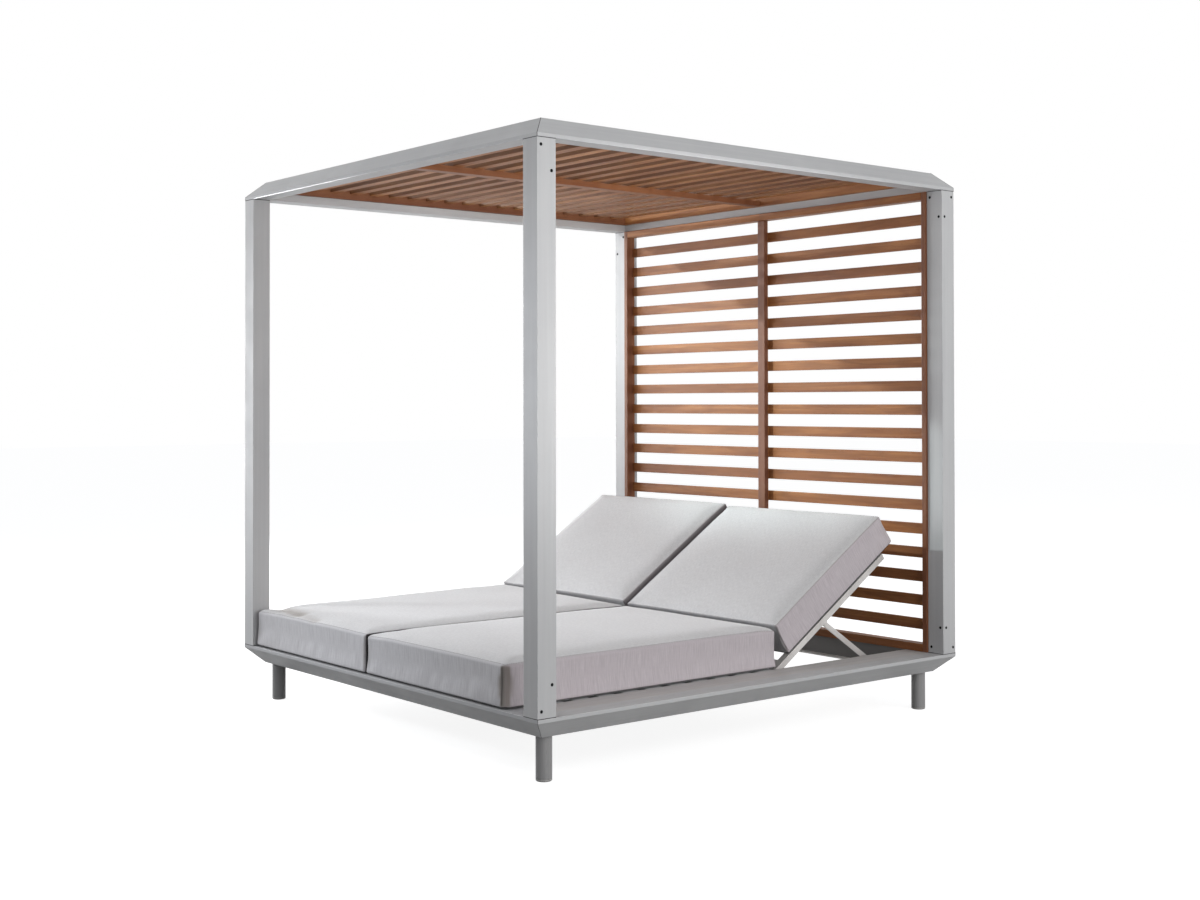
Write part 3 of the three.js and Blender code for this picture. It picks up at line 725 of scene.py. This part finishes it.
class Cushion:
    """A boxed cushion on a lattice: rounded box, crown, drawn-in sides, then cloth and sewing.

    radii are the edge radii, low and high side of each axis. spare is how far the cover may pass
    its box at low X, low Y, high X and high Y. walls are an axis, a side, how near the top the
    painted shade begins, and how dark it gets. folds are the X and Y side of a corner, and a
    depth; shade is painted down that corner. dips are the same, and a reach. creases are an axis,
    a side, and how dark the painted shade is. valleys are a start, an end, a depth, a half width,
    and how dark the painted shade is. undercut is how far the head end draws back at the
    bottom, for a backrest raised to the limit.
    """

    def __init__(
        self, node, size, radii, crown, seed, spare, walls, folds, dips,
        creases=(), valleys=(), undercut=0.0,
    ):
        self.node = node
        self.half = Vector(size) / 2
        self.radii = radii
        self.crown = crown
        self.seed = seed
        self.spare = spare
        self.walls = walls
        self.folds = folds
        self.dips = dips
        self.creases = creases
        self.valleys = valleys
        self.undercut = undercut
        self.lines = [edge_lines(self.half[a], radii[a], CELLS[a]) for a in range(3)]
        self.index = {}
        self.lattice = []
        self.faces = []
        self.kinds = []
        nx, ny, nz = [len(line) - 1 for line in self.lines]
        for i in range(nx):
            for j in range(ny):
                corners = ((i, j), (i, j + 1), (i + 1, j + 1), (i + 1, j))
                self.add_face("bottom", [(*corner, 0) for corner in corners])
                corners = ((i, j), (i + 1, j), (i + 1, j + 1), (i, j + 1))
                self.add_face("top", [(*corner, nz) for corner in corners])
        for k in range(nz):
            for i in range(nx):
                self.add_wall("y", (i, 0), (i + 1, 0), k)
                self.add_wall("y", (i + 1, ny), (i, ny), k)
            for j in range(ny):
                self.add_wall("x", (0, j + 1), (0, j), k)
                self.add_wall("x", (nx, j), (nx, j + 1), k)

    def key(self, place):
        """The number of a lattice point, which is made when it is first asked for."""
        if place not in self.index:
            self.index[place] = len(self.lattice)
            self.lattice.append(Vector([line[n] for line, n in zip(self.lines, place)]))
        return self.index[place]

    def add_face(self, kind, places):
        self.faces.append(tuple(self.key(place) for place in places))
        self.kinds.append(kind)

    def add_wall(self, kind, start, end, k):
        places = [(*start, k), (*end, k), (*end, k + 1), (*start, k + 1)]
        self.add_face(kind, places)

    def start_point(self, lattice_point):
        """Lattice point to the rounded, crowned and drawn-in form. The box's middle is at zero."""
        half = self.half
        core = Vector()
        reach = Vector()
        for a, (low, high) in enumerate(self.radii):
            reach[a] = low if lattice_point[a] < 0 else high
            if a == 2:
                reach.z = min([reach.z] + [reach[b] for b in (0, 1) if core[b] != lattice_point[b]])
            core[a] = min(max(lattice_point[a], reach[a] - half[a]), half[a] - reach[a])
        out = Vector([(lattice_point[a] - core[a]) / reach[a] for a in range(3)])
        if out.length > 1e-9:
            out.normalize()
        p = core + out * reach
        u = p.x / half.x
        v = p.y / half.y
        w = p.z / half.z
        pull = 1 - w * w
        p.x -= math.copysign(DRAW_IN * abs(u) ** 3 * (1 - v * v) * pull, p.x)
        p.y -= math.copysign(DRAW_IN * abs(v) ** 3 * (1 - u * u) * pull, p.y)
        if p.z > 0:
            p.z += self.crown * (1 - abs(u) ** 5) * (1 - abs(v) ** 5) * w
        return p

    def build(self, place, body):
        """Makes the cover and its stitches. place maps the box's middle to the row frame."""
        node = self.node
        points = [self.start_point(p) for p in self.lattice]
        mesh_obj = new_piece(node + "_cover", points, self.faces, cushion_cloth)
        self.add_cover_data(mesh_obj.data)
        self.inflate(mesh_obj, points)
        self.sculpt(mesh_obj.data)
        self.confine(mesh_obj.data)
        mesh_obj.data.transform(place)
        divide = mesh_obj.modifiers.new("smooth", "SUBSURF")
        divide.levels = 1
        divide.render_levels = 1
        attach(mesh_obj, body)
        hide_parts(node)
        self.sew(mesh_obj, body)

    def sew(self, obj, body):
        """The top seam's stitches, laid on the finished cover along its upper edge."""
        nx, ny, nz = [len(line) - 1 for line in self.lines]
        ring = [(i, 0) for i in range(nx)] + [(nx, j) for j in range(ny)]
        ring += [(i, ny) for i in range(nx, 0, -1)] + [(0, j) for j in range(ny, 0, -1)]
        graph = bpy.context.evaluated_depsgraph_get()
        cover = obj.evaluated_get(graph).to_mesh()
        rows = [self.index[(i, j, nz)] for i, j in ring]
        points = [cover.vertices[row].co.copy() for row in rows]
        normals = [cover.vertices[row].normal.copy() for row in rows]
        obj.evaluated_get(graph).to_mesh_clear()
        soup = Soup()
        count = len(points)
        for n in range(count):
            start, end = points[n], points[(n + 1) % count]
            lift = (normals[n] + normals[(n + 1) % count]).normalized() * STITCH_RADIUS * 0.4
            steps = max(1, round((end - start).length / STITCH_PITCH))
            for k in range(steps):
                near = start.lerp(end, (k + 0.2) / steps) + lift
                far = start.lerp(end, (k + 0.8) / steps) + lift
                soup.tube([near, far], STITCH_RADIUS, 5)
        piece = new_piece(self.node + "_stitches", soup.points, soup.faces, thread)
        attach(piece, body)

    def add_cover_data(self, mesh):
        """Weave coordinates in metres, how far a point is on the boxing, where shade is painted,
        and where the cooler tone of painted light goes.
        """
        uv = mesh.uv_layers.new(name="weave")
        half = self.half
        flat = [
            Vector([arc_length(p[a], half[a], self.radii[a]) for a in range(3)])
            for p in self.lattice
        ]
        for polygon, kind in zip(mesh.polygons, self.kinds):
            for loop in polygon.loop_indices:
                p = flat[mesh.loops[loop].vertex_index]
                if kind in WALL_WEAVE:
                    axis, shift = WALL_WEAVE[kind]
                    uv.data[loop].uv = (p[axis] + shift, p.z)
                else:
                    uv.data[loop].uv = (p.x, p.y)
        side = mesh.attributes.new("side", "FLOAT", "POINT")
        touched = {}
        for face, kind in zip(self.faces, self.kinds):
            value = 1.0 if kind in WALL_WEAVE else 0.0
            for corner in face:
                touched.setdefault(corner, []).append(value)
        for corner, values in touched.items():
            side.data[corner].value = sum(values) / len(values)
        for name in ("fold_shade", "under", "cool"):
            mesh.attributes.new(name, "FLOAT", "POINT")
        under = mesh.attributes["under"]
        cool = mesh.attributes["cool"]
        low_edge, high_edge = self.radii[2]
        # Painted shade under the bottom edge and down the walls that face a gap
        for i, p in enumerate(self.lattice):
            value = smooth_step((low_edge * 0.72 - p.z - half.z) / (low_edge * 0.3))
            for axis, sign, start, most in self.walls:
                if p[axis] * sign > half[axis] - 0.0001:
                    depth = (half.z - p.z) / high_edge + start
                    value = max(value, most * smooth_step(depth))
            under.data[i].value = value
            # The ends take the cooler tone, painted light
            cool.data[i].value = 1.0 if half.y - abs(p.y) < half.x - abs(p.x) else 0.0

    def inflate(self, obj, points):
        """Cloth under pressure, held at the bottom, then capped and applied."""
        group = obj.vertex_groups.new(name="held")
        for i, p in enumerate(points):
            w = p.z / self.half.z
            if w < -HELD_BELOW:
                group.add([i], smooth_step((-w - HELD_BELOW) / 0.3), "REPLACE")
        modifier = obj.modifiers.new("cloth", "CLOTH")
        settings = modifier.settings
        for key, value in CLOTH.items():
            setattr(settings, key, value)
        settings.effector_weights.gravity = 0.0
        modifier.point_cache.frame_start = 1
        modifier.point_cache.frame_end = CLOTH_FRAMES
        for number in range(1, CLOTH_FRAMES + 1):
            scene.frame_set(number)
        graph = bpy.context.evaluated_depsgraph_get()
        moved = [v.co.copy() for v in obj.evaluated_get(graph).to_mesh().vertices]
        obj.evaluated_get(graph).to_mesh_clear()
        obj.modifiers.remove(modifier)
        obj.vertex_groups.remove(group)
        for vertex, start, end in zip(obj.data.vertices, points, moved):
            step = end - start
            if step.length > CLOTH_REACH:
                step = step.normalized() * CLOTH_REACH
            vertex.co = start + step
        scene.frame_set(1)

    def crumple(self, flat, p):
        """Moves a point of the cover for the hollows of the top and the puckers at the seams."""
        half = self.half
        u = flat.x / half.x
        v = flat.y / half.y
        w = flat.z / half.z
        seed = Vector((self.seed * 3.1, self.seed * 1.7, 0.0))
        broad = noise.noise(Vector((flat.x, flat.y, 0.0)) * 4.5 + seed)
        if w > 0.2:
            inside = smooth_step((1 - abs(u)) * 6) * smooth_step((1 - abs(v)) * 6)
            p.z += HOLLOW_DEPTH * broad * w * (0.25 + 0.75 * inside)
        edge_x = half.x - abs(flat.x)
        edge_y = half.y - abs(flat.y)
        from_seam = max(min(edge_x, edge_y), 0.0)
        if abs(w) < 1:
            from_seam += min(abs(w - 1), 1.0) * half.z
        run = flat.x if edge_y < edge_x else flat.y
        ripple = noise.noise(Vector((run * 34, w * 1.2, self.seed + 5.0)))
        pucker = PUCKER_DEPTH * ripple * math.exp(-(from_seam / PUCKER_REACH) ** 2)
        outward = Vector((
            math.copysign(1, flat.x) if abs(u) > 0.97 else 0,
            math.copysign(1, flat.y) if abs(v) > 0.97 else 0,
            1 if w > 0.9 else 0,
        ))
        if outward.length:
            p += outward.normalized() * pucker

    def fold_corner(self, flat, p, sx, sy, depth):
        """Moves a point of the cover to pull in a corner, and gives how much shade is painted
        there.
        """
        half = self.half
        w = flat.z / half.z
        away_x = (flat.x * sx - half.x) / self.radii[0][1 if sx > 0 else 0] + 1
        away_y = (flat.y * sy - half.y) / self.radii[1][1 if sy > 0 else 0] + 1
        if away_x < -1e-6 or away_y < -1e-6 or abs(w) > 0.999:
            return 0.0
        angle = math.degrees(math.atan2(away_y, away_x))
        tall = max(0.0, 1 - abs(w) ** 3)
        share = max(0.0, 1 - ((angle - 45) / (26 + 24 * tall)) ** 2)
        push = depth * share * tall
        p.x -= sx * push * DIAGONAL
        p.y -= sy * push * DIAGONAL
        deep = smooth_step(share * 3) * (0.48 + 0.52 * smooth_step((angle - 50) / 25))
        return deep * smooth_step(tall * 2) * min(1.0, depth / FULL_FOLD)

    def sculpt(self, mesh):
        """Hollows and puckers, then folds down the corners, creases, valleys and dips, with painted
        shade in the folds, creases and valleys.
        """
        half = self.half
        fold_shade = mesh.attributes["fold_shade"]
        for i, vertex in enumerate(mesh.vertices):
            flat = self.lattice[i]
            p = vertex.co
            w = flat.z / half.z
            self.crumple(flat, p)
            dark = 0.0
            for sx, sy, depth in self.folds:
                dark = max(dark, self.fold_corner(flat, p, sx, sy, depth))
            for axis, sign, most in self.creases:
                if abs(flat.z - half.z) < 1e-6 and abs(flat[axis] * sign - half[axis]) < 1e-6:
                    dark = max(dark, most)
            for start, end, depth, wide, shade in self.valleys:
                if w > 0.9:
                    dip = math.exp(-(distance_to_line(flat, start, end) / wide) ** 2)
                    p.z -= depth * dip
                    dark = max(dark, shade * dip)
            for sx, sy, depth, reach in self.dips:
                if w > 0:
                    gap = Vector((flat.x - sx * half.x, flat.y - sy * half.y)).length
                    p.z -= depth * w * math.exp(-(gap / reach) ** 2)
            fold_shade.data[i].value = dark

    def confine(self, mesh):
        """Keeps the cushion clear of what lies beside it and flat where it rests."""
        half = self.half
        low_x, low_y, high_x, high_y = self.spare
        low = Vector((-half.x - low_x, -half.y - low_y, -half.z))
        high = Vector((half.x + high_x, half.y + high_y, half.z + self.crown + TOP_SPARE))
        for vertex in mesh.vertices:
            for a in range(3):
                vertex.co[a] = min(max(vertex.co[a], low[a]), high[a])
            if self.undercut:
                rise = (vertex.co.z - low.z) * math.tan(UNDERCUT_LEAN)
                vertex.co.y = min(vertex.co.y, high.y - self.undercut + rise)


def distance_to_line(point, start, end):
    """Distance in the top face from a point to the stretch between two places."""
    along = Vector(end) - Vector(start)
    away = Vector((point.x, point.y)) - Vector(start)
    share = min(1.0, max(0.0, away.dot(along) / along.length_squared))
    return (away - along * share).length


# Edge radii of the cushions
SOFT_EDGE = 0.028
FIRM_EDGE = 0.017
TIGHT_EDGE = 0.012
CRISP_EDGE = 0.006
UPRIGHT_EDGE = (0.014, 0.014)

# Places and sizes of the cushions
BED_X = -0.0585
CUSHION_X = 0.457
CUSHION_WIDTH = 0.910
CUSHION_LIFT = 0.0006
SEAT_Y = (-1.080, 0.231)
SEAT_THICK = 0.158
SEAT_CROWN = 0.009
SEAT_SPARE = (0.001, 0.002, 0.001, 0.0)
SEAT_UNDERCUT = 0.009
BACK_START = 0.0935
BACK_LENGTH = 0.7505
BACK_REST = 0.0128
BACK_THICK = {-1: 0.140 + 0.012, 1: 0.140}
BACK_CROWN = 0.008
BACK_SPARE = {-1: (0.001, 0.0, -0.004, 0.004), 1: (-0.004, 0.0, 0.001, 0.004)}

# Folds, dips, creases and valleys, with painted shade in the folds, creases and valleys. A
# dictionary is keyed by the side: -1 left, 1 right
SEAT_FOOT_FOLD = {-1: 0.002, 1: 0.0105}
SEAT_VALLEYS = {
    -1: (
        ((-0.45, -0.555), (-0.16, -0.600), 0.013, 0.036, 0.50),
        ((-0.16, -0.600), (0.03, -0.635), 0.005, 0.024, 0.24),
    ),
    1: (),
}
SEAT_FOOT_DIPS = ((-1, -1, 0.006, 0.10), (1, -1, 0.002, 0.08))
SEAT_HEAD_DIP = {-1: (-1, 1, -0.012, 0.55), 1: (1, 1, 0.007, 0.03)}
BACK_FOLDS = ((1, -1, 0.002), (-1, -1, 0.002), (1, 1, 0.002), (-1, 1, 0.002))
BACK_DIPS = ((1, 1, 0.002, 0.06), (-1, 1, 0.002, 0.06))
BACK_CREASES = {-1: (), 1: ((0, 1, 0.22),)}


def outer_inner(outer, side):
    """Edge radii along X of a cushion whose outer side is given."""
    return (outer, TIGHT_EDGE) if side < 0 else (TIGHT_EDGE, outer)


for name, side in (("left", -1), ("right", 1)):
    x = BED_X + side * CUSHION_X
    Cushion(
        f"seat_cushion_{name}",
        (CUSHION_WIDTH, SEAT_Y[1] - SEAT_Y[0], SEAT_THICK),
        (outer_inner(SOFT_EDGE, side), (SOFT_EDGE, CRISP_EDGE), UPRIGHT_EDGE),
        SEAT_CROWN,
        seed=2 + side,
        spare=SEAT_SPARE,
        walls=((0, -side, 0.9, 1.0), (1, 1, 0.5, 0.7)),
        folds=((1, -1, SEAT_FOOT_FOLD[side]), (-1, -1, 0.002), (1, 1, 0.0015), (-1, 1, 0.0015)),
        dips=SEAT_FOOT_DIPS + (SEAT_HEAD_DIP[side],),
        valleys=SEAT_VALLEYS[side],
        undercut=SEAT_UNDERCUT,
    ).build(
        Matrix.Translation((x, sum(SEAT_Y) / 2, BASE_TOP + CUSHION_LIFT + SEAT_THICK / 2)),
        "frame",
    )
    backrest = Matrix.Translation(HINGE + Vector((x, 0, 0))) @ Matrix.Rotation(REST_TURN, 4, "X")
    back_thick = BACK_THICK[side]
    back_middle = Vector((0.0, BACK_START + BACK_LENGTH / 2, BACK_REST + back_thick / 2))
    Cushion(
        f"back_cushion_{name}",
        (CUSHION_WIDTH, BACK_LENGTH, back_thick),
        (outer_inner(FIRM_EDGE, side), (CRISP_EDGE, FIRM_EDGE), UPRIGHT_EDGE),
        BACK_CROWN,
        seed=7 + side,
        spare=BACK_SPARE[side],
        walls=((0, -side, 0.45, 0.62), (1, -1, 0.0, 0.4)),
        folds=BACK_FOLDS,
        dips=BACK_DIPS,
        creases=BACK_CREASES[side],
    ).build(backrest @ Matrix.Translation(back_middle), f"back_cushion_{name}")


# Floor, background and light
FLOOR_REACH = 40.0


def floor():
    """White where it is seen. To the light it is dark under the bed and pale further out."""
    g = material_graph("floor")
    away = g.node("ShaderNodeVectorMath", {0: g.place()}, operation="LENGTH").outputs["Value"]
    tone = g.mix(g.ramp(away, 1.7, 4.2), (0.09, 0.09, 0.09, 1), (0.7, 0.7, 0.7, 1))
    pale = g.node("ShaderNodeBsdfDiffuse", {"Color": tone}).outputs[0]
    soft = g.node("ShaderNodeBsdfDiffuse", {"Color": (0.42, 0.42, 0.42, 1)}).outputs[0]
    glow = g.node("ShaderNodeEmission", {"Color": (1, 1, 1, 1), "Strength": 0.87}).outputs[0]
    shown = g.node("ShaderNodeAddShader", {0: soft, 1: glow}).outputs[0]
    g.join(g.node("ShaderNodeMixShader", {0: g.seen_directly(), 1: pale, 2: shown}))
    corners = [(FLOOR_REACH * sx, FLOOR_REACH * sy, 0) for sx, sy in CORNERS]
    plane = new_piece("floor", corners, [(0, 2, 3, 1)], g.block, smooth=False)


def world():
    """White where it is seen, and a dim, slightly cool light on the part."""
    g = Graph(bpy.data.worlds.new("studio"), "ShaderNodeOutputWorld")
    dim = g.node("ShaderNodeBackground", {"Color": (0.92, 0.95, 1.0, 1), "Strength": 0.3})
    white = g.node("ShaderNodeBackground", {"Color": (1, 1, 1, 1)})
    g.join(g.node("ShaderNodeMixShader", {
        0: g.seen_directly(),
        1: dim.outputs[0],
        2: white.outputs[0],
    }))
    scene.world = g.block


def add_light(name, data, place, target, power, tint):
    data.energy = power
    data.color = tint
    obj = bpy.data.objects.new(name, data)
    scene.collection.objects.link(obj)
    obj.location = place
    obj.rotation_euler = (Vector(target) - Vector(place)).to_track_quat("-Z", "Y").to_euler()
    obj.visible_camera = False


def area_light(name, place, target, width, height, power, tint=(1, 1, 1)):
    """A soft panel, level along its width."""
    data = bpy.data.lights.new(name, "AREA")
    data.shape = "RECTANGLE"
    data.size = width
    data.size_y = height
    add_light(name, data, place, target, power, tint)


def spot_light(name, place, target, cone, radius, power, tint=(1, 1, 1)):
    """A small lamp whose cone fades out all the way from its middle."""
    data = bpy.data.lights.new(name, "SPOT")
    data.spot_size = math.radians(cone)
    data.spot_blend = 1.0
    data.shadow_soft_size = radius
    add_light(name, data, place, target, power, tint)


SENSOR = 36
PHOTO_WIDTH = 1200
PHOTO_HEIGHT = 900
FOCAL_PIXELS = 1556.6
AXIS_PIXEL = (585.06, 384.88)
CAMERA_PLACE = (5.131, -4.175, 1.273)
CAMERA_YAW = math.radians(51.137)
CAMERA_PITCH = math.radians(-0.671)
CAMERA_ROLL = math.radians(-0.078)


def camera():
    """The photograph's camera: place, turn, lens and shift worked out from the frame's edges."""
    data = bpy.data.cameras.new("camera")
    data.sensor_width = SENSOR
    data.lens = SENSOR * FOCAL_PIXELS / PHOTO_WIDTH
    data.shift_x = (PHOTO_WIDTH / 2 - AXIS_PIXEL[0]) / PHOTO_WIDTH
    data.shift_y = -(PHOTO_HEIGHT / 2 - AXIS_PIXEL[1]) / PHOTO_WIDTH
    data.clip_end = 200
    obj = bpy.data.objects.new("camera", data)
    scene.collection.objects.link(obj)
    level = math.cos(CAMERA_PITCH)
    ahead = Vector((
        -math.sin(CAMERA_YAW) * level,
        math.cos(CAMERA_YAW) * level,
        -math.sin(CAMERA_PITCH),
    ))
    right = Vector((math.cos(CAMERA_YAW), math.sin(CAMERA_YAW), 0))
    up = right.cross(ahead)
    turn = Matrix((right, up, -ahead)).transposed().to_4x4()
    roll = Matrix.Rotation(CAMERA_ROLL, 4, "Z")
    obj.matrix_world = Matrix.Translation(CAMERA_PLACE) @ turn @ roll
    scene.camera = obj


floor()
world()
area_light("right_low", (7.0, 0.5, 1.2), (0.0, 0.5, 1.4), 8.0, 1.0, 205)
area_light("right_high", (6.0, 0.0, 4.2), (0.0, 0.0, 1.0), 8.0, 2.5, 105)
area_light("left_far", (-8.0, -1.2, 1.7), (0.0, 0.0, 1.3), 4.0, 2.0, 770, (0.97, 0.98, 1.0))
area_light("foot_high", (-2.6, -3.6, 5.4), (-0.3, -0.5, 0.4), 2.6, 2.6, 85)
spot_light("foot_left", (-3.5, -4.2, 2.6), (-0.7, -0.8, 0.4), 26, 0.5, 255, (0.96, 0.98, 1.0))
spot_light("foot_middle", (-1.2, -4.2, 2.9), (-0.1, -0.7, 0.4), 26, 0.5, 140, (0.86, 0.92, 1.0))
spot_light("head_spot", (-5.2, -2.9, 4.1), (-0.1, 1.0, 1.5), 17, 0.08, 1300, (0.95, 1.0, 1.0))
spot_light("head_core", (-5.2, -2.9, 4.1), (0.0, 1.02, 1.2), 12, 0.08, 1350, (0.78, 1.0, 1.0))
spot_light("roof_spot", (3.4, -0.9, 0.1), (-0.8, 0.0, 2.2), 38, 0.4, 370)
spot_light("front_post", (-1.2, -3.7, 1.5), (1.02, -1.09, 1.34), 26, 0.3, 150, (0.9, 0.94, 1.0))
camera()

scene.view_settings.view_transform = "Standard"
